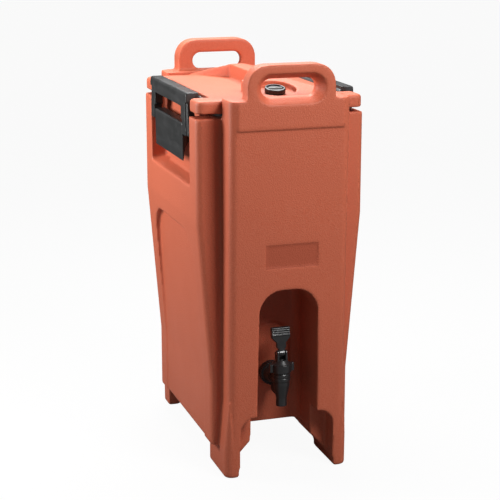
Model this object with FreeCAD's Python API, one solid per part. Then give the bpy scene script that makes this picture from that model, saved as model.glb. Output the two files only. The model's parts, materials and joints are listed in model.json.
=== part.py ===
import FreeCAD
import Part
import math
import os

# Insulated beverage dispenser: a tall double-walled container for hot or cold drinks.
# Millimetres. Origin on the floor under the middle of the body. +Z up, the faucet faces -Y.

Vec = FreeCAD.Vector

# Driving sizes
HEIGHT = 622.0
BODY_HALF_W = 129.0
BASE_HALF_W = 109.5
BODY_HALF_D = 152.0
TAPER_TOP_Z = 390.0
TAPER_BASE_Z = 145.0
RIM_Z = 542.0
SKIRT_Z = 44.0
TUNNEL_Z = 54.0
CORNER_R = 9.0

# Towers at the front and the back, which carry the handles and the feet
TOWER_HALF_W = 91.5
TOWER_FACE_D = 196.0
TOWER_FOOT_D = 185.0
SHOULDER_Z = 572.0
TOWER_CORNER_R = 11.0
BAND_Z = 530.0
BAND_HALF_W = 81.0
BAND_PROUD = 2.5

# Handles
HANDLE_HALF_W = 66.3
HANDLE_THICK = 28.0
HANDLE_CORNER_R = 30.0
GRIP_HALF_W = 42.0
GRIP_Z = (574.0, 601.0)
FLARE_HALF_W = 53.0
FLARE_Z = (565.0, 610.0)
FLARE_DEPTH = 15.0

# Faucet bay and the arch at the back
BAY_HALF_W = 48.5
BAY_TOP_HALF_W = 45.0
BAY_TOP_Z = 290.0
BAY_ARCH_R = 36.0
BAY_BACK_D = 100.0
BAY_BACK_R = 16.0
REAR_ARCH_Z = 98.0
REAR_ARCH_R = 30.0

# Feet and the pocket inside each leg
FOOT_IN_X = 76.0
FOOT_OUT_X = 97.0
FLARE_TOP_Z = 120.0
FOOT_EDGE_R = 4.0
GUSSET_HIGH = 13.0
GUSSET_WIDE = 8.0
FRONT_FOOT_BACK_D = 98.0
REAR_FOOT_BACK_D = 148.0
POCKET_X = 74.0
POCKET_BACK_D = 155.0
POCKET_Z = 94.0
POCKET_R = 24.0

# Recess in each side for the latch, and the long panel below it
LATCH_BAY_X = 104.0
LATCH_BAY_HALF_D = 112.0
LATCH_BAY_Z = (446.0, 435.0)
CATCH_X = 108.0
CATCH_HALF_D = 74.0
CATCH_Z = (440.0, 500.0)
PANEL_TOP_Z = 365.0
PANEL_TOP_X = 118.0
PANEL_BASE_X = 107.5
PANEL_HALF_D = 112.0
PANEL_CORNER_R = 45.0

# Blank label recess
LABEL_X = (-37.0, 45.0)
LABEL_Z = (324.0, 360.0)
LABEL_DEPTH = 1.2

# Walls, foam and tank
CAVITY_HALF_W = 99.0
CAVITY_HALF_D = 145.0
CAVITY_BASE_Z = 62.0
SKIN = 5.0
LINER_WALL = 4.0
TANK_HALF_W = 80.0
TANK_HALF_D = 128.0
TANK_SUMP_D = 76.0
TANK_FLOOR_Z = 78.0
TANK_STEP_Z = 322.0
TANK_CORNER_R = 20.0

# Lid
LID_HALF_W = 127.5
LID_HALF_D = 151.0
LID_Z = (549.0, 568.0)
LID_CORNER_R = 10.0
LID_EDGE_R = 5.0
RIDGE_X = (-2.0, 20.0)
RIDGE_Y = (-55.0, 93.0)
RIDGE_Z = 590.0
RAISED_FOOT_X = 98.0
RAISED_FOOT_Z = 570.0
RAISED_FRONT_Y = -146.0
RAISED_BACK_Y = 148.0
BACK_TAIL_X = -54.0
PLATEAU_X = -36.0
PLATEAU_BACK_Y = -70.0
LEDGE_X = 113.0
GROOVE_X = 99.0
GROOVE_Z = 559.5
GROOVE_HALF_D = 112.0
LID_CAVITY_HALF_W = 93.0
LID_CAVITY_HALF_D = 143.0
LID_CAVITY_TOP_Z = 563.5
LINER_PLATE_Z = 553.0
PLUG_BASE_Z = 520.0
PLUG_HALF_W = 76.0
PLUG_HALF_D = 124.0
GASKET_OUT = (93.0, 141.0)
GASKET_IN = (83.0, 131.0)
GASKET_GAP = 0.3

# Vent in the lid
VENT_X = 4.0
VENT_Y = -110.0
VENT_TILT = 12.0
VENT_FLOOR_Z = 570.0
VENT_RECESS_R = 31.0
VENT_BORE_R = 9.0
VENT_TUBE_R = 12.0
VENT_CAP_R = 15.5
VENT_CAP_Z = (571.8, 578.6)
VENT_SEAL_R = (10.5, 13.5)
VENT_CAP_FLUTES = 24

# Latches, given for the right side
LATCH_PIN_X = 108.0
LATCH_PIN_Z = 565.0
LATCH_PIN_R = 1.5
LATCH_PIN_HALF = 117.0
BARREL_R = 3.4
RUNNING_GAP = 0.05
FRAME_IN_X = 118.0
FRAME_OUT_X = 131.0
FRAME_TOP_Z = 574.5
FLANGE_Z = 568.6
FLANGE_IN_X = 111.0
FRAME_BASE_Z = 511.0
FRAME_TOP_HALF = 104.0
FRAME_BASE_HALF = 109.5
SLOT_HALF = 82.5
SLOT_Z = 533.0
WINDOW_HALF = 76.0
WINDOW_TOP_Z = 552.0
LEVER_HALF = 80.0
LEVER_IN_X = 113.5
LEVER_TOP_Z = 527.0
LEVER_BASE_Z = 470.0
LEVER_PIN_X = 122.0
LEVER_PIN_Z = 517.0
LEVER_PIN_R = 2.5
NOSE_X = 108.6
NOSE_Z = (494.0, 505.0)
NOSE_HALF = 56.0

# Faucet
SHANK_Z = 136.0
SHANK_R = 9.5
SHANK_BORE_R = 6.0
SHANK_INNER_Y = -62.0
PAD_PROUD = 4.0
PAD_HALF_W = 31.0
PAD_Z = (112.0, 214.0)
PAD_R = 30.0
WASHER = 2.0
FLANGE_R = 19.0
FLANGE_THICK = 10.0
FLANGE_FLUTES = 26
CUP_Y = -158.0
CUP_R = 12.5
CUP_BORE_R = 10.0
CUP_TOP_Z = 163.0
CUP_BASE_Z = 133.0
SEAT_Z = 127.0
SPOUT_Z = 99.0
SPOUT_TOP_Z = 111.0
SPOUT_R = 8.2
SPOUT_BORE_R = 6.5
BONNET_R = 15.0
BONNET_Z = (153.5, 166.0)
DOME_Z = 172.0
COLLAR_Z = (139.0, 151.0)
COLLAR_R = 13.6
WEB_HALF = 2.6
WEB_Z = 109.0
WEB_CORNER_R = 8.0
PIVOT_Z = 182.0
PIVOT_R = 2.0
EAR_BACK_Y = -150.0
STEM_R = 2.5
VALVE_CUP_R = 9.4
HANDLE_LEAN = 12.0
PADDLE_HALF_W = 14.5
NECK_HALF_W = 7.2
PADDLE_Z = (24.0, 40.0)

SOFT = 2.0


def box(xs, ys, zs):
    """A block between three pairs of limits."""
    return Part.makeBox(xs[1] - xs[0], ys[1] - ys[0], zs[1] - zs[0], Vec(xs[0], ys[0], zs[0]))


def centred(half_w, half_d, zs):
    """A block centred on the Z axis."""
    return box((-half_w, half_w), (-half_d, half_d), zs)


def prism_xz(points, y0, y1):
    """An outline in X and Z, carried from y0 to y1."""
    corners = [Vec(x, y0, z) for x, z in points]
    face = Part.Face(Part.makePolygon(corners + corners[:1]))
    return face.extrude(Vec(0, y1 - y0, 0))


def prism_yz(points, x0, x1):
    """An outline in Y and Z, carried from x0 to x1."""
    corners = [Vec(x0, y, z) for y, z in points]
    face = Part.Face(Part.makePolygon(corners + corners[:1]))
    return face.extrude(Vec(x1 - x0, 0, 0))


def rod_y(x, z, radius, y0, y1):
    return Part.makeCylinder(radius, y1 - y0, Vec(x, y0, z), Vec(0, 1, 0))


def rod_x(y, z, radius, x0, x1):
    return Part.makeCylinder(radius, x1 - x0, Vec(x0, y, z), Vec(1, 0, 0))


def rod_z(x, y, radius, z0, z1):
    return Part.makeCylinder(radius, z1 - z0, Vec(x, y, z0), Vec(0, 0, 1))


def rounded(solid, radius, chosen):
    """The solid with the edges that pass the test rounded."""
    edges = [edge for edge in solid.Edges if chosen(*[vertex.Point for vertex in edge.Vertexes])]
    return solid.makeFillet(radius, edges)


def upright(*ends):
    return len(ends) == 2 and abs(ends[0].z - ends[1].z) > 1 and abs(ends[0].x - ends[1].x) < 0.01


def along_x(*ends):
    return len(ends) == 2 and abs(ends[0].x - ends[1].x) > 1 and abs(ends[0].z - ends[1].z) < 0.01


def both_sides(solid):
    """The solid and its mirror image across the middle of the width, as one shape."""
    return solid.fuse(solid.mirror(Vec(0, 0, 0), Vec(1, 0, 0)))


def front_and_back(solid):
    return solid.fuse(solid.mirror(Vec(0, 0, 0), Vec(0, 1, 0)))


def slot_wire(half_w, zs, y):
    """A flat-sided slot with round ends in the plane at y."""
    mid = (zs[0] + zs[1]) / 2
    radius = (zs[1] - zs[0]) / 2
    reach = half_w - radius
    top = Part.LineSegment(Vec(-reach, y, zs[1]), Vec(reach, y, zs[1]))
    right = Part.Arc(Vec(reach, y, zs[1]), Vec(half_w, y, mid), Vec(reach, y, zs[0]))
    low = Part.LineSegment(Vec(reach, y, zs[0]), Vec(-reach, y, zs[0]))
    left = Part.Arc(Vec(-reach, y, zs[0]), Vec(-half_w, y, mid), Vec(-reach, y, zs[1]))
    return Part.Wire([curve.toShape() for curve in (top, right, low, left)])


def body_block():
    """The main container, straight above and tapering below."""
    half = [(BASE_HALF_W, SKIRT_Z), (BASE_HALF_W, TAPER_BASE_Z), (BODY_HALF_W, TAPER_TOP_Z), (BODY_HALF_W, RIM_Z)]
    outline = half + [(-x, z) for x, z in reversed(half)]
    block = prism_xz(outline, -BODY_HALF_D, BODY_HALF_D)

    def corner(*ends):
        return abs(ends[0].z - ends[-1].z) > 1

    return rounded(block, CORNER_R, corner)


def tower_block(low, back_d, half_w=TOWER_HALF_W):
    """The tower from the height low up and back to back_d, its face leaning in towards the floor."""
    low_d = TOWER_FOOT_D + (TOWER_FACE_D - TOWER_FOOT_D) * low / BAND_Z
    side = [(-back_d, low), (-low_d, low), (-TOWER_FACE_D, BAND_Z), (-TOWER_FACE_D, SHOULDER_Z),
            (-back_d, SHOULDER_Z)]
    block = prism_yz(side, -half_w, half_w)

    def face_corner(*ends):
        return abs(ends[0].z - ends[-1].z) > 1 and ends[0].y < -BODY_HALF_D and ends[-1].y < -BODY_HALF_D

    return rounded(block, TOWER_CORNER_R, face_corner)


def tower():
    """The front tower above the feet, with the raised band below its handle."""
    block = tower_block(SKIRT_Z, BODY_HALF_D - CORNER_R)
    band_y = -TOWER_FACE_D - BAND_PROUD
    band = box((-BAND_HALF_W, BAND_HALF_W), (band_y, -BODY_HALF_D), (BAND_Z, SHOULDER_Z))
    handle_low = box((-TOWER_HALF_W, TOWER_HALF_W), (-BODY_HALF_D, 0), (RIM_Z, SHOULDER_Z + 1))
    return block.fuse(band).cut(handle_low)


def handle():
    """A carrying handle on the front tower, with a dished grip opening."""
    face = -TOWER_FACE_D - BAND_PROUD
    loop = box((-HANDLE_HALF_W, HANDLE_HALF_W), (face, face + HANDLE_THICK), (SHOULDER_Z - 20, HEIGHT))
    loop = rounded(loop, HANDLE_CORNER_R,
                   lambda *ends: abs(ends[0].y - ends[-1].y) > 1 and ends[0].z > HEIGHT - 1)
    through = Part.Face(slot_wire(GRIP_HALF_W, GRIP_Z, face - 1)).extrude(Vec(0, HANDLE_THICK + 2, 0))
    flare = Part.makeLoft([slot_wire(FLARE_HALF_W, FLARE_Z, face - 0.5),
                           slot_wire(GRIP_HALF_W, GRIP_Z, face + FLARE_DEPTH)], True)
    return loop, through.fuse(flare)


def foot(back_d):
    """One front foot on the right, reaching back to back_d, with a slanted web up to the underside."""
    web = [(BAY_HALF_W, SKIRT_Z + 2), (BAY_HALF_W + 4, SKIRT_Z - 3), (FOOT_IN_X - 4, 20), (FOOT_IN_X, 10),
           (FOOT_IN_X, 0), (FOOT_OUT_X, 0), (FOOT_OUT_X, SKIRT_Z - 3), (TOWER_HALF_W, FLARE_TOP_Z),
           (TOWER_HALF_W - 6, SKIRT_Z + 2)]
    post = prism_xz(web, -TOWER_FACE_D, -back_d).common(tower_block(0, back_d, FOOT_OUT_X))
    post = rounded(post, FOOT_EDGE_R, lambda *ends: ends[0].z < 0.1 and ends[-1].z < 0.1)
    gusset = prism_xz([(TOWER_HALF_W - 1, SKIRT_Z - GUSSET_HIGH), (TOWER_HALF_W - 1, SKIRT_Z + 1),
                       (TOWER_HALF_W + GUSSET_WIDE, SKIRT_Z + 1)], -BODY_HALF_D + CORNER_R / 2, -back_d)
    return post.fuse(gusset)


def leg_pocket():
    """The hollow in the inner front corner of the right leg."""
    block = box((0, POCKET_X), (-TOWER_FOOT_D - 40, -POCKET_BACK_D), (-5, POCKET_Z))
    return rounded(block, POCKET_R,
                   lambda *ends: abs(ends[0].y - ends[-1].y) > 1 and ends[0].x > 1 and ends[0].z > 1)


def arched_opening(half_w, top_half_w, top_z, arch_r, y0, y1):
    """An opening from below the floor up to a round-cornered top, a little narrower there."""
    block = prism_xz([(-half_w, -5), (-top_half_w, top_z), (top_half_w, top_z), (half_w, -5)], y0, y1)
    return rounded(block, arch_r, lambda *ends: abs(ends[0].y - ends[-1].y) > 1 and ends[0].z > 0)


def faucet_bay(grow=0.0):
    """The arched bay that the faucet stands in, or the same bay a little larger all round."""
    back = -BAY_BACK_D + grow
    bay = arched_opening(BAY_HALF_W + grow, BAY_TOP_HALF_W + grow, BAY_TOP_Z + grow, BAY_ARCH_R,
                         -TOWER_FACE_D - 40, back)
    return rounded(bay, BAY_BACK_R,
                   lambda *ends: all(abs(end.y - back) < 0.01 for end in ends) and max(e.z for e in ends) > 0)


def faucet_pad():
    """The slightly raised seat for the faucet on the bay's back wall."""
    face = -BAY_BACK_D - PAD_PROUD
    pad = box((-PAD_HALF_W, PAD_HALF_W), (face, -BAY_BACK_D + 1), PAD_Z)
    return rounded(pad, PAD_R, lambda *ends: abs(ends[0].y - ends[-1].y) > 1)


def latch_bay():
    """The recess in the right side for the latch, open at the top."""
    back_z, lip_z = LATCH_BAY_Z
    outline = [(LATCH_BAY_X, back_z), (LATCH_BAY_X, RIM_Z + 5), (BODY_HALF_W + 10, RIM_Z + 5),
               (BODY_HALF_W + 10, lip_z)]
    bay = prism_xz(outline, -LATCH_BAY_HALF_D, LATCH_BAY_HALF_D)
    bay = rounded(bay, 5.0, lambda *ends: abs(ends[0].x - ends[-1].x) > 1 and ends[0].z < RIM_Z)
    catch = box((LATCH_BAY_X - 2, CATCH_X), (-CATCH_HALF_D, CATCH_HALF_D), CATCH_Z)
    return bay.cut(rounded(catch, SOFT, lambda *ends: ends[0].x > LATCH_BAY_X and ends[-1].x > LATCH_BAY_X))


def side_panel():
    """The shallow panel in the right side below the latch, deepest at its top."""
    outline = [(PANEL_TOP_X, PANEL_TOP_Z), (BODY_HALF_W + 10, PANEL_TOP_Z), (BODY_HALF_W + 10, 0),
               (PANEL_BASE_X, 0), (PANEL_BASE_X, TAPER_BASE_Z)]
    slab = prism_xz(outline, -PANEL_HALF_D, PANEL_HALF_D)
    return rounded(slab, PANEL_CORNER_R, lambda *ends: along_x(*ends) and ends[0].z > PANEL_TOP_Z - 1)


def label_recess():
    back = -TOWER_FACE_D + 20
    block = box(LABEL_X, (-TOWER_FACE_D - 5, back), LABEL_Z)
    lean = math.atan2(TOWER_FACE_D - TOWER_FOOT_D, BAND_Z)
    mid_z = (LABEL_Z[0] + LABEL_Z[1]) / 2
    face_y = -TOWER_FOOT_D - mid_z * math.tan(lean)
    floor = box((-100, 100), (face_y + LABEL_DEPTH, 0), (mid_z - 60, mid_z + 60))
    floor.rotate(Vec(0, face_y + LABEL_DEPTH, mid_z), Vec(1, 0, 0), math.degrees(lean))
    return block.cut(floor)


def insulation_space():
    """All the room inside the outer shell."""
    middle = centred(CAVITY_HALF_W, CAVITY_HALF_D, (CAVITY_BASE_Z, RIM_Z + 1))
    column = box((-TOWER_HALF_W + SKIN, TOWER_HALF_W - SKIN), (-TOWER_FOOT_D + SKIN, -CAVITY_HALF_D + 1),
                 (POCKET_Z + SKIN, SHOULDER_Z - 12))
    top_wall = box((-TOWER_HALF_W, TOWER_HALF_W), (-BODY_HALF_D - SKIN, 0), (RIM_Z - 20, SHOULDER_Z))
    return middle.fuse(front_and_back(column.cut(top_wall))).cut(faucet_bay(SKIN))


def shank_hole(radius):
    return rod_y(0, SHANK_Z, radius, -BAY_BACK_D - 10, -TANK_SUMP_D + 10)


def outer_shell():
    loop, grip = handle()
    rear_feet = both_sides(foot(REAR_FOOT_BACK_D)).mirror(Vec(0, 0, 0), Vec(0, 1, 0))
    solid = body_block().fuse(front_and_back(tower().fuse(loop)))
    solid = solid.fuse(both_sides(foot(FRONT_FOOT_BACK_D))).fuse(rear_feet)
    tunnel = box((-BAY_HALF_W, BAY_HALF_W), (-BODY_HALF_D - 60, BODY_HALF_D + 60), (0, TUNNEL_Z))
    rear_arch = arched_opening(BAY_HALF_W, BAY_HALF_W, REAR_ARCH_Z, REAR_ARCH_R, BODY_HALF_D, BODY_HALF_D + 60)
    cuts = [tunnel, faucet_bay(), rear_arch, label_recess(), front_and_back(grip), insulation_space()]
    cuts += [both_sides(front_and_back(leg_pocket())), both_sides(latch_bay()), both_sides(side_panel())]
    for tool in cuts:
        solid = solid.cut(tool)
    return solid.fuse(faucet_pad()).cut(shank_hole(SHANK_R + 0.1)).removeSplitter()


def tank_form(grow):
    """The tank's inside, or the same form a wall's thickness larger."""
    half_w = TANK_HALF_W + grow
    half_d = TANK_HALF_D + grow
    upper = centred(half_w, half_d, (TANK_STEP_Z - grow, RIM_Z + 1))
    lower = box((-half_w, half_w), (-TANK_SUMP_D - grow, half_d), (TANK_FLOOR_Z - grow, TANK_STEP_Z + 10))
    corner_r = TANK_CORNER_R + grow
    return rounded(upper, corner_r, upright).fuse(rounded(lower, corner_r, upright))


def inner_liner():
    rim = centred(CAVITY_HALF_W, CAVITY_HALF_D, (RIM_Z - LINER_WALL, RIM_Z))
    above = centred(BODY_HALF_W, BODY_HALF_D, (RIM_Z, RIM_Z + 10))
    solid = tank_form(LINER_WALL).fuse(rim).cut(above).cut(tank_form(0))
    return solid.cut(shank_hole(SHANK_R + 0.1)).removeSplitter()


def foam_core():
    top = centred(BODY_HALF_W, BODY_HALF_D, (RIM_Z - LINER_WALL, RIM_Z + 10))
    return insulation_space().cut(tank_form(LINER_WALL)).cut(top).cut(shank_hole(SHANK_R + 0.1)).removeSplitter()


def lid_blank():
    """The lid's plate with the raised roof on it, which slopes to the right, the front and the back."""
    plate = rounded(centred(LID_HALF_W, LID_HALF_D, LID_Z), LID_CORNER_R, upright)
    plate = rounded(plate, LID_EDGE_R, lambda *ends: ends[0].z > LID_Z[1] - 0.1 and ends[-1].z > LID_Z[1] - 0.1)
    return plate.fuse(raised_roof(0.0, LID_Z[1] - 4))


def raised_roof(inset, low):
    """The raised part of the lid from the height low up, or the same part inset all round."""
    outline = [(RIDGE_X[0], RIDGE_Y[1]), (BACK_TAIL_X, RAISED_BACK_Y), (RAISED_FOOT_X, RAISED_BACK_Y),
               (RAISED_FOOT_X, RAISED_FRONT_Y), (PLATEAU_X, RAISED_FRONT_Y), (PLATEAU_X, PLATEAU_BACK_Y),
               (RIDGE_X[0], PLATEAU_BACK_Y)]
    corners = [Vec(x, y, low) for x, y in outline]
    plan = Part.Face(Part.makePolygon(corners + corners[:1]))
    if inset:
        plan = plan.makeOffset2D(-inset, join=2)
    block = plan.extrude(Vec(0, 0, RIDGE_Z - inset - low))
    sky = RIDGE_Z + 60
    top = RIDGE_Z - inset
    foot = RAISED_FOOT_Z - inset
    side_slope = prism_xz([(RIDGE_X[1], top), (RAISED_FOOT_X, foot), (RAISED_FOOT_X + 60, foot), (RIDGE_X[1], sky)],
                          -BODY_HALF_D, BODY_HALF_D)
    front_slope = prism_yz([(RIDGE_Y[0], top), (RAISED_FRONT_Y, foot), (RAISED_FRONT_Y - 60, foot),
                            (RIDGE_Y[0], sky)], -BODY_HALF_W, BODY_HALF_W)
    back_slope = prism_yz([(RIDGE_Y[1], top), (RAISED_BACK_Y, foot), (RAISED_BACK_Y + 60, foot),
                           (RIDGE_Y[1], sky)], -BODY_HALF_W, BODY_HALF_W)
    for slope in (side_slope, front_slope, back_slope):
        block = block.cut(slope)
    return block


def vent_rod(radius, low, high):
    """A round rod on the vent's axis, which leans forward with the lid's front slope."""
    rod = Part.makeCylinder(radius, high - low, Vec(VENT_X, VENT_Y, low))
    rod.rotate(Vec(VENT_X, VENT_Y, VENT_FLOOR_Z), Vec(1, 0, 0), VENT_TILT)
    return rod


def lid_space():
    """The foam's room inside the lid, above the liner's plate."""
    flat = centred(LID_CAVITY_HALF_W, LID_CAVITY_HALF_D, (LINER_PLATE_Z, LID_CAVITY_TOP_Z))
    return flat.fuse(raised_roof(SKIN, LID_CAVITY_TOP_Z - 1)).cut(vent_rod(VENT_RECESS_R + SKIN,
                                                                          VENT_FLOOR_Z - SKIN, RIDGE_Z + 20))


def lid_shell():
    solid = lid_blank()
    ledge = box((LEDGE_X, LID_HALF_W + 5), (-GROOVE_HALF_D, GROOVE_HALF_D), (LID_Z[0] - 1, LID_Z[1] + 5))
    groove = box((GROOVE_X, LID_HALF_W + 5), (-GROOVE_HALF_D, GROOVE_HALF_D), (GROOVE_Z, LID_Z[1] + 5))
    pin = rod_y(LATCH_PIN_X, LATCH_PIN_Z, LATCH_PIN_R, -LATCH_PIN_HALF, LATCH_PIN_HALF)
    opening = centred(LID_CAVITY_HALF_W, LID_CAVITY_HALF_D, (LID_Z[0] - 1, LINER_PLATE_Z))
    recess = vent_rod(VENT_RECESS_R, VENT_FLOOR_Z, RIDGE_Z + 20)
    bore = vent_rod(VENT_BORE_R, LID_Z[0] - 10, RIDGE_Z)
    for tool in (both_sides(ledge.fuse(groove)), both_sides(pin), opening, lid_space(), recess, bore):
        solid = solid.cut(tool)
    return solid.removeSplitter()


def plug_pocket():
    return centred(PLUG_HALF_W - LINER_WALL, PLUG_HALF_D - LINER_WALL, (PLUG_BASE_Z + LINER_WALL, LINER_PLATE_Z))


def lid_liner():
    """The plate under the lid's foam, with the plug that enters the tank's mouth."""
    plate = centred(LID_CAVITY_HALF_W, LID_CAVITY_HALF_D, (LID_Z[0], LINER_PLATE_Z))
    plug = rounded(centred(PLUG_HALF_W, PLUG_HALF_D, (PLUG_BASE_Z, LID_Z[0] + 1)), TANK_CORNER_R - 4, upright)
    above = centred(LID_HALF_W, LID_HALF_D, (LID_CAVITY_TOP_Z - 4, RIDGE_Z))
    below = centred(LID_HALF_W, LID_HALF_D, (PLUG_BASE_Z - 30, PLUG_BASE_Z))
    tube = vent_rod(VENT_TUBE_R, PLUG_BASE_Z - 10, VENT_FLOOR_Z).cut(above).cut(below)
    bore = vent_rod(VENT_BORE_R, PLUG_BASE_Z - 20, VENT_FLOOR_Z)
    pocket = rounded(plug_pocket(), TANK_CORNER_R - 4 - LINER_WALL, upright)
    return plate.fuse(plug).cut(pocket).fuse(tube).cut(bore).removeSplitter()


def lid_foam():
    pocket = rounded(plug_pocket(), TANK_CORNER_R - 4 - LINER_WALL, upright)
    tube = vent_rod(VENT_TUBE_R, PLUG_BASE_Z - 10, VENT_FLOOR_Z)
    return lid_space().fuse(pocket).cut(tube).removeSplitter()


def lid_gasket():
    zs = (RIM_Z + GASKET_GAP, LID_Z[0])
    outer = rounded(centred(GASKET_OUT[0], GASKET_OUT[1], zs), TANK_CORNER_R + 8, upright)
    inner = rounded(centred(GASKET_IN[0], GASKET_IN[1], zs), TANK_CORNER_R, upright)
    return outer.cut(inner)


def vent_cap():
    """A round cap with a ribbed rim, a dished top and a short plug."""
    cap = rod_z(0, 0, VENT_CAP_R, *VENT_CAP_Z)
    cap = rounded(cap, 1.2, lambda *ends: ends[0].z > VENT_CAP_Z[1] - 0.1)
    dish = rod_z(0, 0, VENT_CAP_R - 3.0, VENT_CAP_Z[1] - 1.8, VENT_CAP_Z[1] + 1)
    grip = box((-VENT_CAP_R + 4, VENT_CAP_R - 4), (-1.8, 1.8), (VENT_CAP_Z[1] - 2.5, VENT_CAP_Z[1] - 0.4))
    plug = rod_z(0, 0, VENT_BORE_R - 0.4, VENT_CAP_Z[0] - 14, VENT_CAP_Z[0] + 1)
    solid = cap.cut(dish).fuse(grip).fuse(plug)
    flute_ring = VENT_CAP_R + 0.6
    for index in range(VENT_CAP_FLUTES):
        angle = 2 * math.pi * index / VENT_CAP_FLUTES
        flute = rod_z(flute_ring * math.cos(angle), flute_ring * math.sin(angle), 1.1,
                      VENT_CAP_Z[0] - 1, VENT_CAP_Z[1] - 1.8)
        solid = solid.cut(flute)
    return on_vent_axis(solid)


def vent_cap_seal():
    ring = rod_z(0, 0, VENT_SEAL_R[1], VENT_FLOOR_Z, VENT_CAP_Z[0] - 0.3)
    return on_vent_axis(ring.cut(rod_z(0, 0, VENT_SEAL_R[0], VENT_FLOOR_Z - 1, VENT_CAP_Z[0])))


def on_vent_axis(solid):
    """A piece made round the Z axis, moved to the vent and leant forward with it."""
    solid.translate(Vec(VENT_X, VENT_Y, 0))
    solid.rotate(Vec(VENT_X, VENT_Y, VENT_FLOOR_Z), Vec(1, 0, 0), VENT_TILT)
    return solid


def latch_frame():
    """The right latch's frame: a top flange over the lid and two arms with a window between them."""
    outline = [(-FRAME_BASE_HALF, FRAME_BASE_Z), (-SLOT_HALF, FRAME_BASE_Z), (-SLOT_HALF, SLOT_Z),
               (-WINDOW_HALF, SLOT_Z), (-WINDOW_HALF, WINDOW_TOP_Z), (WINDOW_HALF, WINDOW_TOP_Z),
               (WINDOW_HALF, SLOT_Z), (SLOT_HALF, SLOT_Z), (SLOT_HALF, FRAME_BASE_Z),
               (FRAME_BASE_HALF, FRAME_BASE_Z), (FRAME_TOP_HALF, FRAME_TOP_Z), (-FRAME_TOP_HALF, FRAME_TOP_Z)]
    plate = prism_yz(outline, FRAME_IN_X, FRAME_OUT_X)
    plate = rounded(plate, 4.0, lambda *ends: all(e.z > FRAME_TOP_Z - 0.1 and e.x > FRAME_OUT_X - 0.1 for e in ends))
    flange = box((FLANGE_IN_X, FRAME_IN_X + 2), (-FRAME_TOP_HALF, FRAME_TOP_HALF), (FLANGE_Z, FRAME_TOP_Z))
    flange = rounded(flange, 2.0, lambda *ends: all(e.z > FRAME_TOP_Z - 0.1 and e.x < FLANGE_IN_X + 0.1 for e in ends))
    barrel_half = GROOVE_HALF_D - 2.0
    barrel = rod_y(LATCH_PIN_X, LATCH_PIN_Z, BARREL_R, -barrel_half, barrel_half)
    web = box((LATCH_PIN_X, FRAME_IN_X), (-FRAME_TOP_HALF, FRAME_TOP_HALF), (LATCH_PIN_Z + 1.8, FLANGE_Z + 1))
    solid = plate.fuse(flange).fuse(barrel).fuse(web)
    step_x = FRAME_OUT_X - 2.5
    step = prism_yz([(FRAME_BASE_HALF - 8, FRAME_BASE_Z - 1), (FRAME_BASE_HALF + 2, FRAME_BASE_Z - 1),
                     (FRAME_TOP_HALF + 3, WINDOW_TOP_Z + 8), (FRAME_TOP_HALF - 6, WINDOW_TOP_Z + 8)],
                    step_x, FRAME_OUT_X + 1)
    solid = solid.cut(front_and_back(step))
    bore = rod_y(LATCH_PIN_X, LATCH_PIN_Z, LATCH_PIN_R + RUNNING_GAP, -LATCH_PIN_HALF, LATCH_PIN_HALF)
    pin_holes = front_and_back(lever_pin())
    return solid.cut(bore).cut(pin_holes).removeSplitter()


def latch_hinge_pin():
    return rod_y(LATCH_PIN_X, LATCH_PIN_Z, LATCH_PIN_R, -LATCH_PIN_HALF, LATCH_PIN_HALF)


def lever_pin():
    return rod_y(LEVER_PIN_X, LEVER_PIN_Z, LEVER_PIN_R, LEVER_HALF - 14, FRAME_BASE_HALF - 6)


def latch_lever():
    """The thumb lever between the arms: a deep top that thins towards its lower edge."""
    outer = [(LEVER_IN_X, LEVER_TOP_Z), (130.5, LEVER_TOP_Z), (129.5, LEVER_BASE_Z)]
    blade = prism_xz(outer + [(128.2, LEVER_BASE_Z), (LEVER_PIN_X, LEVER_PIN_Z - 8), (LEVER_IN_X, LEVER_PIN_Z - 5)],
                     -LEVER_HALF, LEVER_HALF)
    nose = prism_xz(outer + [(126.8, LEVER_BASE_Z), (NOSE_X + 5, NOSE_Z[0]), (NOSE_X, NOSE_Z[0] + 3),
                             (NOSE_X, NOSE_Z[1]), (LEVER_IN_X, NOSE_Z[1] + 5)], -NOSE_HALF, NOSE_HALF)
    lever = blade.fuse(nose).removeSplitter()
    lever = rounded(lever, 2.0, lambda *ends: ends[0].x > 130 and ends[-1].x > 130 and ends[0].z > LEVER_TOP_Z - 1)
    hole = rod_y(LEVER_PIN_X, LEVER_PIN_Z, LEVER_PIN_R + RUNNING_GAP, LEVER_HALF - 14.3, LEVER_HALF + 1)
    return lever.cut(front_and_back(hole))


def faucet_flange_y():
    return -BAY_BACK_D - PAD_PROUD - WASHER


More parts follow.
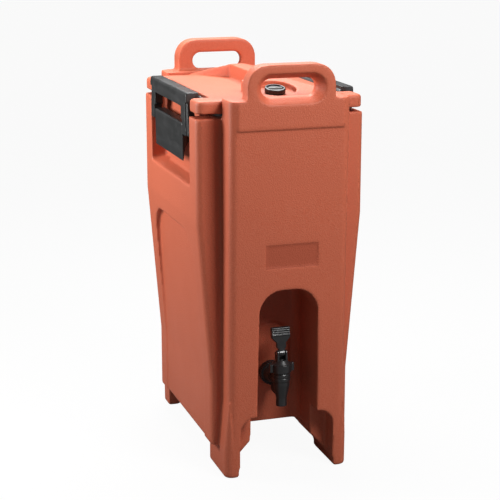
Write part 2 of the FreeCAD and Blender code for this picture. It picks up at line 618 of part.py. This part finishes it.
def faucet_body():
    """Shank, wall flange, valve cup and spout in one moulding."""
    flange_y = faucet_flange_y()
    shank = rod_y(0, SHANK_Z, SHANK_R, CUP_Y, SHANK_INNER_Y)
    flange = rod_y(0, SHANK_Z, FLANGE_R, flange_y - FLANGE_THICK, flange_y)
    for index in range(FLANGE_FLUTES):
        angle = 2 * math.pi * index / FLANGE_FLUTES
        flange = flange.cut(rod_y((FLANGE_R + 0.7) * math.cos(angle), SHANK_Z + (FLANGE_R + 0.7) * math.sin(angle),
                                  1.6, flange_y - FLANGE_THICK - 1, flange_y - 2.5))
    hub = Part.makeCone(FLANGE_R - 4, SHANK_R + 1, 12, Vec(0, flange_y - FLANGE_THICK, SHANK_Z), Vec(0, -1, 0))
    cup = rod_z(0, CUP_Y, CUP_R, CUP_BASE_Z, CUP_TOP_Z)
    collar = rounded(rod_z(0, CUP_Y, COLLAR_R, *COLLAR_Z), 1.0, lambda *ends: True)
    groove_z = (COLLAR_Z[0] + COLLAR_Z[1]) / 2
    groove = rod_z(0, CUP_Y, COLLAR_R + 1, groove_z - 0.8, groove_z + 0.8).cut(
        rod_z(0, CUP_Y, COLLAR_R - 0.8, groove_z - 1, groove_z + 1))
    taper = Part.makeCone(SPOUT_R, CUP_R, CUP_BASE_Z - SPOUT_TOP_Z, Vec(0, CUP_Y, SPOUT_TOP_Z))
    spout = rod_z(0, CUP_Y, SPOUT_R, SPOUT_Z, SPOUT_TOP_Z)
    web = box((-WEB_HALF, WEB_HALF), (CUP_Y, flange_y - FLANGE_THICK + 1), (WEB_Z, SHANK_Z))
    web = rounded(web, WEB_CORNER_R, lambda *ends: all(e.z < WEB_Z + 0.1 and e.y > CUP_Y + 1 for e in ends))
    solid = shank.fuse(flange).fuse(hub).fuse(cup).fuse(collar.cut(groove)).fuse(taper).fuse(spout).fuse(web)
    cup_bore = rod_z(0, CUP_Y, CUP_BORE_R, SEAT_Z, CUP_TOP_Z + 1)
    spout_bore = rod_z(0, CUP_Y, SPOUT_BORE_R, SPOUT_Z - 1, SEAT_Z + 1)
    shank_bore = rod_y(0, SHANK_Z, SHANK_BORE_R, CUP_Y, SHANK_INNER_Y + 1)
    return solid.cut(cup_bore).cut(spout_bore).cut(shank_bore).removeSplitter()


def shank_ring(radius_out, y0, y1):
    return rod_y(0, SHANK_Z, radius_out, y0, y1).cut(rod_y(0, SHANK_Z, SHANK_R, y0 - 1, y1 + 1))


def shank_nut():
    """Six-sided nut that pulls the faucet tight from inside the tank."""
    start = -TANK_SUMP_D + WASHER
    points = []
    for index in range(6):
        angle = math.radians(60 * index)
        points.append(Vec(17 * math.cos(angle), start, SHANK_Z + 17 * math.sin(angle)))
    nut = Part.Face(Part.makePolygon(points + points[:1])).extrude(Vec(0, 9, 0))
    return nut.cut(rod_y(0, SHANK_Z, SHANK_R, start - 1, start + 10))


def faucet_bonnet():
    """The screwed collar over the cup, with two ears that hold the handle's pin and a wall behind the pin."""
    skirt = rod_z(0, CUP_Y, BONNET_R, *BONNET_Z)
    dome = Part.makeCone(BONNET_R - 2, 7.5, DOME_Z - BONNET_Z[1], Vec(0, CUP_Y, BONNET_Z[1]))
    solid = skirt.fuse(dome)
    for side in (-1, 1):
        wing = box((13, 19), (CUP_Y - 3, CUP_Y + 3), BONNET_Z) if side > 0 else \
            box((-19, -13), (CUP_Y - 3, CUP_Y + 3), BONNET_Z)
        ear = box((side * 6.5 - 1.5, side * 6.5 + 1.5), (CUP_Y - 5, EAR_BACK_Y), (DOME_Z - 5, PIVOT_Z))
        ear = ear.fuse(rod_x(CUP_Y, PIVOT_Z, 5, side * 6.5 - 1.5, side * 6.5 + 1.5))
        solid = solid.fuse(wing).fuse(ear)
    solid = solid.fuse(box((-6.5, 6.5), (EAR_BACK_Y - 2.6, EAR_BACK_Y), (DOME_Z - 5, PIVOT_Z)))
    room = rod_z(0, CUP_Y, CUP_R, BONNET_Z[0] - 1, CUP_TOP_Z)
    inner = rod_z(0, CUP_Y, CUP_BORE_R, CUP_TOP_Z - 1, CUP_TOP_Z + 1.5)
    stem_hole = rod_z(0, CUP_Y, STEM_R + RUNNING_GAP, CUP_TOP_Z, DOME_Z + 1)
    pin = rod_x(CUP_Y, PIVOT_Z, PIVOT_R, -20, 20)
    return solid.cut(room).cut(inner).cut(stem_hole).cut(pin).removeSplitter()


def valve_stem():
    return rod_z(0, CUP_Y, STEM_R, SEAT_Z + 3, DOME_Z + 1)


def valve_cup():
    """Soft cup that closes the valve seat."""
    cup = Part.makeCone(VALVE_CUP_R - 1.4, VALVE_CUP_R, 4, Vec(0, CUP_Y, SEAT_Z + 0.2))
    neck = Part.makeCone(VALVE_CUP_R, STEM_R + 1.5, 5, Vec(0, CUP_Y, SEAT_Z + 4.2))
    return cup.fuse(neck).cut(valve_stem())


def handle_pin():
    return rod_x(CUP_Y, PIVOT_Z, PIVOT_R, -8.5, 8.5)


def faucet_handle():
    """Upright lever with a broad ribbed paddle, leaning back a little."""
    hub = rod_x(CUP_Y, PIVOT_Z, 4.4, -4.6, 4.6)
    half = [(4.6, 0), (4.6, 6.4), (NECK_HALF_W, 9.0), (NECK_HALF_W, 16.0), (PADDLE_HALF_W, PADDLE_Z[0]),
            (PADDLE_HALF_W, PADDLE_Z[1])]
    neck = prism_xz(half + [(-x, z) for x, z in reversed(half)], -3.2, 3.2)
    ribs = 4
    for index in range(ribs):
        z = PADDLE_Z[0] + 3 + index * 3.4
        rib = box((-PADDLE_HALF_W, PADDLE_HALF_W), (-4.4, -3), (z, z + 1.7))
        neck = neck.fuse(rib)
    neck.translate(Vec(0, CUP_Y, PIVOT_Z))
    neck.rotate(Vec(0, CUP_Y, PIVOT_Z), Vec(1, 0, 0), -HANDLE_LEAN)
    pin = rod_x(CUP_Y, PIVOT_Z, PIVOT_R + RUNNING_GAP, -20, 20)
    return hub.fuse(neck).cut(pin).removeSplitter()


def mirrored(solid):
    return solid.mirror(Vec(0, 0, 0), Vec(1, 0, 0))


def save(name, shape):
    solids = shape.Solids
    if len(solids) == 1:
        shape = solids[0]
    shape.exportStep("parts/" + name + ".step")
    box_now = shape.BoundBox
    print(name, len(solids), shape.isValid(), "%.1f cm3" % (shape.Volume / 1000),
          "x %.1f..%.1f y %.1f..%.1f z %.1f..%.1f" % (box_now.XMin, box_now.XMax, box_now.YMin, box_now.YMax,
                                                     box_now.ZMin, box_now.ZMax))


def main():
    os.makedirs("parts", exist_ok=True)
    save("outer_shell", outer_shell())
    save("inner_liner", inner_liner())
    save("foam_core", foam_core())
    save("lid_shell", lid_shell())
    save("lid_liner", lid_liner())
    save("lid_foam", lid_foam())
    save("lid_gasket", lid_gasket())
    save("vent_cap", vent_cap())
    save("vent_cap_seal", vent_cap_seal())
    for side, place in (("right", lambda solid: solid), ("left", mirrored)):
        save("latch_frame_" + side, place(latch_frame()))
        save("latch_hinge_pin_" + side, place(latch_hinge_pin()))
        save("latch_lever_" + side, place(latch_lever()))
        save("latch_lever_pins_" + side, place(front_and_back(lever_pin())))
    save("faucet_body", faucet_body())
    save("faucet_gasket_outer", shank_ring(17.0, faucet_flange_y(), faucet_flange_y() + WASHER))
    save("faucet_gasket_inner", shank_ring(16.0, -TANK_SUMP_D, -TANK_SUMP_D + WASHER))
    save("shank_nut", shank_nut())
    save("faucet_bonnet", faucet_bonnet())
    save("valve_stem", valve_stem())
    save("valve_cup", valve_cup())
    save("handle_pin", handle_pin())
    save("faucet_handle", faucet_handle())


main()
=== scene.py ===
import json
import math

import bpy
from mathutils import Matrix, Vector


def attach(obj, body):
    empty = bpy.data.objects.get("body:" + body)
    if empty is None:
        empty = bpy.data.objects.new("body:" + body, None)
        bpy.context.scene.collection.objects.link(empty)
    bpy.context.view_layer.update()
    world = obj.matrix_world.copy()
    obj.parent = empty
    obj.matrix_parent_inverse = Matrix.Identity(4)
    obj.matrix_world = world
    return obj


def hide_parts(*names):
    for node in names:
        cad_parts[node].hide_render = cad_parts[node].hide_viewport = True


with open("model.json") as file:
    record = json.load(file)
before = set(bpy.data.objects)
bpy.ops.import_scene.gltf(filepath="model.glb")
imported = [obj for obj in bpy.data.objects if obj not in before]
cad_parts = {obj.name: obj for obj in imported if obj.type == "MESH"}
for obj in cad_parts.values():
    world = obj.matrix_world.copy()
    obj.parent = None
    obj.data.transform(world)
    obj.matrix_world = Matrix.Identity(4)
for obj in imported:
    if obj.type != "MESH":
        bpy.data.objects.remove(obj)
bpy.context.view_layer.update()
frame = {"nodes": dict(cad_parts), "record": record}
nodes = frame["nodes"]
record = frame["record"]

# The camera looks at the dispenser's middle from the left of its front and from above.
CAMERA_AZIMUTH = math.radians(18.054)
CAMERA_ELEVATION = math.radians(14.326)
CAMERA_DISTANCE = 2.2470
CAMERA_AIM = (0.0013, 0.0, 0.3043)
CAMERA_LENS = 101.61

CAMERA_SENSOR = 36.0
CAMERA_FAR = 50.0

# Colours are linear red, green and blue.
WHITE = (1.0, 1.0, 1.0, 1)
CORAL = (0.585, 0.152, 0.080, 1)
CORAL_DEEP = (0.500, 0.125, 0.065, 1)
CORAL_SCUFFED = (0.700, 0.270, 0.175, 1)
# A deeper coral painted into the label recess as painted shade.
CORAL_LABEL_SHADE = (0.470, 0.118, 0.063, 1)
LINER_CORAL = (0.560, 0.165, 0.100, 1)
FOAM_CREAM = (0.640, 0.520, 0.290, 1)
FOAM_AMBER = (0.470, 0.330, 0.140, 1)
NYLON_BLACK = (0.036, 0.037, 0.037, 1)
NYLON_SCUFFED = (0.075, 0.075, 0.078, 1)
GLOSS_BLACK = (0.030, 0.030, 0.031, 1)
GLOSS_DUSTY = (0.040, 0.040, 0.041, 1)
RUBBER_BLACK = (0.018, 0.018, 0.019, 1)
RUBBER_GREY = (0.040, 0.040, 0.041, 1)
STEEL_BRIGHT = (0.620, 0.615, 0.605, 1)
STEEL_DULL = (0.420, 0.415, 0.410, 1)
FLOOR_WHITE = (0.220, 0.220, 0.220, 1)
FLOOR_GREY = (0.190, 0.190, 0.190, 1)

# The light the surround gives, the light it shows the camera, and the same for the floor.
SURROUND_LIGHT = 0.17
SURROUND_SEEN = 1.0
FLOOR_GLOW = 1.08
FLOOR_GLOW_SHARE = 0.88
FLOOR_HALF = 12.0
PICTURE_GAMMA = 0.86

# Each lamp's name, place, aim, width and height, all in metres, and power in watts.
LAMPS = [
    ("key", (-0.76, 0.15, 0.68), (-0.1, 0.0, 0.45), (0.35, 0.35), 6.8),
    ("top", (0.05, 0.60, 1.55), (0.0, 0.0, 0.55), (0.8, 0.8), 26.0),
    ("front", (0.58, -1.32, 1.55), (0.0, -0.1, 0.45), (0.7, 0.6), 29.0),
]

# Each moulding that is given rolled edges: its node, the new piece's name, the grid that the shape is
# rebuilt on in metres, the smoothing passes and the most triangles it keeps.
MOULDINGS = [
    ("outer_shell", "shell_moulding", 0.0020, 5, 140000),
    ("lid_shell", "lid_moulding", 0.0016, 5, 60000),
    ("latch_frame_left", "latch_hanger_left", 0.0009, 3, 14000),
    ("latch_lever_left", "latch_pull_left", 0.0009, 3, 10000),
    ("latch_frame_right", "latch_hanger_right", 0.0009, 3, 14000),
    ("latch_lever_right", "latch_pull_right", 0.0009, 3, 10000),
    ("faucet_body", "faucet_barrel", 0.0005, 3, 16000),
    ("faucet_bonnet", "faucet_cap_ring", 0.0005, 3, 12000),
    ("faucet_handle", "faucet_paddle", 0.0005, 3, 10000),
    ("vent_cap", "vent_button", 0.0004, 2, 12000),
]

# The smooth panel for a label on the tower's front, in metres, where the coral is painted darker as
# painted shade of its recess.
LABEL_SHADE_X = (-0.037, 0.045)
LABEL_SHADE_Z = (0.324, 0.360)
LABEL_SHADE_BACK_Y = -0.170


class Signal:
    """A value or colour in a finish. Arithmetic on it adds the nodes that do the sum."""

    def __init__(self, finish, socket):
        self.finish = finish
        self.socket = socket

    def maths(self, operation, first, second):
        return self.finish.node("Math", {"operation": operation}, {0: first, 1: second})

    def __add__(self, other):
        return self.maths("ADD", self, other)

    def __mul__(self, other):
        return self.maths("MULTIPLY", self, other)

    __radd__ = __add__
    __rmul__ = __mul__


class Finish:
    """The surface of one of the dispenser's materials, made from nodes."""

    def __init__(self, name):
        self.material = bpy.data.materials.new(name)
        self.material.use_nodes = True
        self.tree = self.material.node_tree
        self.tree.nodes.clear()
        self.place = self.node("TexCoord", output="Object")

    def node(self, kind, settings=None, inputs=None, output=0):
        """One shader node. Its settings are set first, then its sockets' values or links."""
        made = self.tree.nodes.new("ShaderNode" + kind)
        for key, value in (settings or {}).items():
            if key == "stops":
                for stop, (position, shade) in zip(made.color_ramp.elements, value):
                    stop.position = position
                    stop.color = (shade, shade, shade, 1)
            else:
                setattr(made, key, value)
        for key, value in (inputs or {}).items():
            if isinstance(value, Signal):
                self.tree.links.new(value.socket, made.inputs[key])
            else:
                made.inputs[key].default_value = value
        return Signal(self, made.outputs[output])

    def noise(self, scale, detail=2.0, roughness=0.5, stretch=None):
        place = self.place
        if stretch:
            place = self.node("Mapping", inputs={"Vector": place, "Scale": stretch})
        return self.node("TexNoise", inputs={"Vector": place, "Scale": scale, "Detail": detail,
                                             "Roughness": roughness})

    def pebbles(self, scale):
        """Rounded grain, as a blasted mould leaves it."""
        return self.node("TexVoronoi", {"feature": "SMOOTH_F1"},
                         {"Vector": self.place, "Scale": scale, "Smoothness": 0.6})

    def band(self, signal, low, high):
        """0 below low and 1 above high."""
        return self.node("ValToRGB", {"stops": [(low, 0.0), (high, 1.0)]}, {"Fac": signal})

    def blend(self, share, first, second):
        return self.node("Mix", {"data_type": "RGBA"}, {0: share, 6: first, 7: second}, output=2)

    def height(self, axis):
        """The place along X, Y or Z, in metres."""
        return self.node("SeparateXYZ", inputs={0: self.place}, output=axis)

    def within(self, axis, low, high):
        """1 where the place along an axis is between low and high, else 0."""
        return self.node("Math", {"operation": "COMPARE"}, {0: self.height(axis), 1: (low + high) / 2,
                                                            2: (high - low) / 2})

    def bump(self, signal, strength, depth, under=None):
        inputs = {"Height": signal, "Strength": strength, "Distance": depth}
        if under:
            inputs["Normal"] = under
        return self.node("Bump", inputs=inputs)

    def surface(self, **sockets):
        """Closes the finish with its shader and returns the material."""
        names = {key.replace("_", " "): value for key, value in sockets.items()}
        shader = self.node("BsdfPrincipled", inputs=names)
        return self.end(shader)

    def end(self, shader):
        output = self.tree.nodes.new("ShaderNodeOutputMaterial")
        self.tree.links.new(shader.socket, output.inputs["Surface"])
        return self.material


def shell_plastic():
    """Coral polyethylene with a fine pebble grain, paler where it is rubbed and deeper in patches, with
    painted shade darkening the label recess.
    """
    finish = Finish("coral_polyethylene")
    patches = finish.band(finish.noise(6.0, 3.0), 0.35, 0.72)
    speckle = finish.band(finish.noise(520.0, 2.0), 0.30, 0.75)
    rubbed = finish.band(finish.noise(38.0, 5.0, 0.7), 0.60, 0.82)
    colour = finish.blend(patches * 0.35, CORAL, CORAL_DEEP)
    colour = finish.blend(speckle * 0.30, colour, CORAL_SCUFFED)
    colour = finish.blend(rubbed * 0.10, colour, CORAL_SCUFFED)
    # Painted shade: the label recess on the tower's front is painted a deeper coral.
    label_shade = (finish.within("X", *LABEL_SHADE_X) * finish.within("Z", *LABEL_SHADE_Z)
             * finish.within("Y", LABEL_SHADE_BACK_Y - 1.0, LABEL_SHADE_BACK_Y))
    colour = finish.blend(label_shade, colour, CORAL_LABEL_SHADE)
    roll = finish.bump(finish.noise(26.0, 2.0), 0.10, 0.0020)
    grain = finish.bump(finish.pebbles(620.0), 0.42, 0.0009, roll)
    fine = finish.bump(finish.noise(1300.0, 2.0), 0.36, 0.0004, grain)
    return finish.surface(Base_Color=colour, Roughness=0.44 + patches * 0.08 + speckle * 0.06, Normal=fine,
                          IOR=1.5, Specular_IOR_Level=0.45)


def liner_plastic():
    """The smoother coral polyethylene that faces the drink, with the mould's slight waviness."""
    finish = Finish("liner_polyethylene")
    patches = finish.band(finish.noise(9.0, 3.0), 0.35, 0.70)
    colour = finish.blend(patches * 0.4, LINER_CORAL, CORAL_DEEP)
    wave = finish.bump(finish.noise(30.0, 2.0), 0.15, 0.0015)
    return finish.surface(Base_Color=colour, Roughness=0.34 + patches * 0.10,
                          Normal=finish.bump(finish.noise(900.0), 0.08, 0.0002, wave), IOR=1.5)


def foam():
    """Rigid cream foam with open cells."""
    finish = Finish("cream_foam")
    cells = finish.pebbles(900.0)
    colour = finish.blend(finish.band(cells, 0.15, 0.75), FOAM_CREAM, FOAM_AMBER)
    return finish.surface(Base_Color=colour, Roughness=0.92, Normal=finish.bump(cells, 0.6, 0.0008))


def seal_rubber():
    """Matt black rubber with a dusty bloom."""
    finish = Finish("seal_rubber")
    bloom = finish.band(finish.noise(60.0, 4.0, 0.6), 0.42, 0.75)
    colour = finish.blend(bloom * 0.7, RUBBER_BLACK, RUBBER_GREY)
    return finish.surface(Base_Color=colour, Roughness=0.62 + bloom * 0.15,
                          Normal=finish.bump(finish.noise(1500.0), 0.2, 0.0002))


def latch_nylon():
    """Satin black nylon, with a fine texture from the mould and grey rubbed patches."""
    finish = Finish("latch_nylon")
    rubbed = finish.band(finish.noise(70.0, 5.0, 0.65), 0.52, 0.80)
    streaks = finish.band(finish.noise(90.0, 3.0, stretch=(1.0, 0.12, 1.0)), 0.45, 0.75)
    colour = finish.blend(rubbed * 0.5, NYLON_BLACK, NYLON_SCUFFED)
    colour = finish.blend(streaks * 0.3, colour, NYLON_SCUFFED)
    grain = finish.bump(finish.noise(1700.0, 3.0), 0.22, 0.0002)
    return finish.surface(Base_Color=colour, Roughness=0.36 + streaks * 0.08 + rubbed * 0.10, Normal=grain,
                          IOR=1.53, Specular_IOR_Level=0.6)


def faucet_plastic():
    """Glossy black plastic with the slight ripple and finger marks of handled mouldings."""
    finish = Finish("gloss_black_plastic")
    marks = finish.band(finish.noise(120.0, 4.0, 0.6), 0.48, 0.78)
    colour = finish.blend(marks * 0.5, GLOSS_BLACK, GLOSS_DUSTY)
    ripple = finish.bump(finish.noise(160.0, 1.0), 0.12, 0.0004)
    return finish.surface(Base_Color=colour, Roughness=0.30 + marks * 0.14, Normal=ripple, IOR=1.53,
                          Specular_IOR_Level=0.7)


def pin_steel():
    """Stainless steel drawn to wire, with fine lines along the pins."""
    finish = Finish("drawn_stainless")
    lines = finish.noise(2600.0, 3.0, stretch=(1.0, 0.03, 1.0))
    dull = finish.band(finish.noise(45.0, 3.0), 0.40, 0.70)
    colour = finish.blend(dull * 0.6, STEEL_BRIGHT, STEEL_DULL)
    return finish.surface(Base_Color=colour, Metallic=1.0, Roughness=0.24 + dull * 0.14,
                          Normal=finish.bump(lines, 0.15, 0.0002))


def studio_floor():
    """Pale paper, faintly uneven."""
    finish = Finish("pale_floor")
    fibre = finish.noise(14.0, 3.0)
    colour = finish.blend(fibre * 0.2, FLOOR_WHITE, FLOOR_GREY)
    paper = finish.node("BsdfPrincipled", inputs={"Base Color": colour, "Roughness": 0.9})
    glow = finish.node("Emission", inputs={"Color": WHITE, "Strength": FLOOR_GLOW})
    seen = finish.node("LightPath", output="Is Camera Ray")
    return finish.end(finish.node("MixShader", inputs={0: seen * FLOOR_GLOW_SHARE, 1: paper, 2: glow}))


def make_camera():
    data = bpy.data.cameras.new("camera")
    data.lens = CAMERA_LENS
    data.sensor_width = CAMERA_SENSOR
    data.clip_end = CAMERA_FAR
    camera = bpy.data.objects.new("camera", data)
    bpy.context.scene.collection.objects.link(camera)
    ahead = Vector((math.sin(CAMERA_AZIMUTH) * math.cos(CAMERA_ELEVATION),
                    math.cos(CAMERA_AZIMUTH) * math.cos(CAMERA_ELEVATION), -math.sin(CAMERA_ELEVATION)))
    camera.location = Vector(CAMERA_AIM) - ahead * CAMERA_DISTANCE
    camera.rotation_mode = "QUATERNION"
    camera.rotation_quaternion = ahead.to_track_quat("-Z", "Y")
    bpy.context.scene.camera = camera


def area_light(name, place, aim, size, power):
    data = bpy.data.lights.new(name, "AREA")
    data.shape = "RECTANGLE"
    data.size, data.size_y = size
    data.energy = power
    lamp = bpy.data.objects.new(name, data)
    bpy.context.scene.collection.objects.link(lamp)
    lamp.location = place
    lamp.rotation_mode = "QUATERNION"
    lamp.rotation_quaternion = (Vector(aim) - Vector(place)).to_track_quat("-Z", "Y")


def studio():
    """A pale floor, a pale surround and soft lamps at the left, above and in front."""
    world = bpy.data.worlds.new("studio")
    world.use_nodes = True
    tree = world.node_tree
    lighting = tree.nodes["Background"]
    lighting.inputs["Strength"].default_value = SURROUND_LIGHT
    lighting.inputs["Color"].default_value = WHITE
    backdrop = tree.nodes.new("ShaderNodeBackground")
    backdrop.inputs["Strength"].default_value = SURROUND_SEEN
    backdrop.inputs["Color"].default_value = WHITE
    ray = tree.nodes.new("ShaderNodeLightPath")
    mixed = tree.nodes.new("ShaderNodeMixShader")
    tree.links.new(ray.outputs["Is Camera Ray"], mixed.inputs[0])
    tree.links.new(lighting.outputs[0], mixed.inputs[1])
    tree.links.new(backdrop.outputs[0], mixed.inputs[2])
    tree.links.new(mixed.outputs[0], tree.nodes["World Output"].inputs["Surface"])
    bpy.context.scene.world = world
    bpy.context.scene.view_settings.view_transform = "Standard"
    bpy.context.scene.view_settings.gamma = PICTURE_GAMMA
    mesh = bpy.data.meshes.new("floor")
    corners = [(x * FLOOR_HALF, y * FLOOR_HALF, 0) for x, y in ((-1, -1), (1, -1), (1, 1), (-1, 1))]
    mesh.from_pydata(corners, [], [(0, 1, 2, 3)])
    floor = bpy.data.objects.new("floor", mesh)
    bpy.context.scene.collection.objects.link(floor)
    mesh.materials.append(studio_floor())
    for lamp in LAMPS:
        area_light(*lamp)


def placed(name, mesh):
    piece = bpy.data.objects.new(name, mesh)
    bpy.context.scene.collection.objects.link(piece)
    return piece


def taken(piece, name):
    """The piece as its modifiers leave it, as a mesh of its own, and the piece itself removed."""
    made = bpy.data.meshes.new_from_object(piece.evaluated_get(bpy.context.evaluated_depsgraph_get()))
    made.name = name
    bpy.data.objects.remove(piece)
    return made


def softened(node, name, grid, passes, triangles):
    """A CAD node's shape with every edge rolled over, as a moulding has them. It stands for that node."""
    rough = placed("rough", nodes[node].data.copy())
    remesh = rough.modifiers.new("grid", "REMESH")
    remesh.mode = "VOXEL"
    remesh.voxel_size = grid
    smooth = rough.modifiers.new("roll", "SMOOTH")
    smooth.factor = 0.5
    smooth.iterations = passes
    rolled = placed("rolled", taken(rough, "rolled"))
    thin = rolled.modifiers.new("thin", "DECIMATE")
    thin.ratio = min(1.0, triangles / (2 * len(rolled.data.polygons)))
    mesh = taken(rolled, name)
    for polygon in mesh.polygons:
        polygon.use_smooth = True
    piece = placed(name, mesh)
    weighted = piece.modifiers.new("normals", "WEIGHTED_NORMAL")
    weighted.mode = "FACE_AREA"
    weighted.keep_sharp = False
    mesh.materials.clear()
    mesh.materials.append(finishes[slots[node]])
    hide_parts(node)
    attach(piece, body_of[node])
    return piece


make_camera()
studio()

slots = {part["node"]: part["material_slot"] for part in record["subparts"]}
body_of = {node: body for body, members in record["behaviour"]["bodies"].items() for node in members}
finishes = {
    "shell_plastic": shell_plastic(),
    "liner_plastic": liner_plastic(),
    "foam": foam(),
    "seal_rubber": seal_rubber(),
    "latch_nylon": latch_nylon(),
    "faucet_plastic": faucet_plastic(),
    "pin_steel": pin_steel(),
}

for node, solid in nodes.items():
    solid.data.materials.clear()
    solid.data.materials.append(finishes[slots[node]])

for moulding in MOULDINGS:
    softened(*moulding)
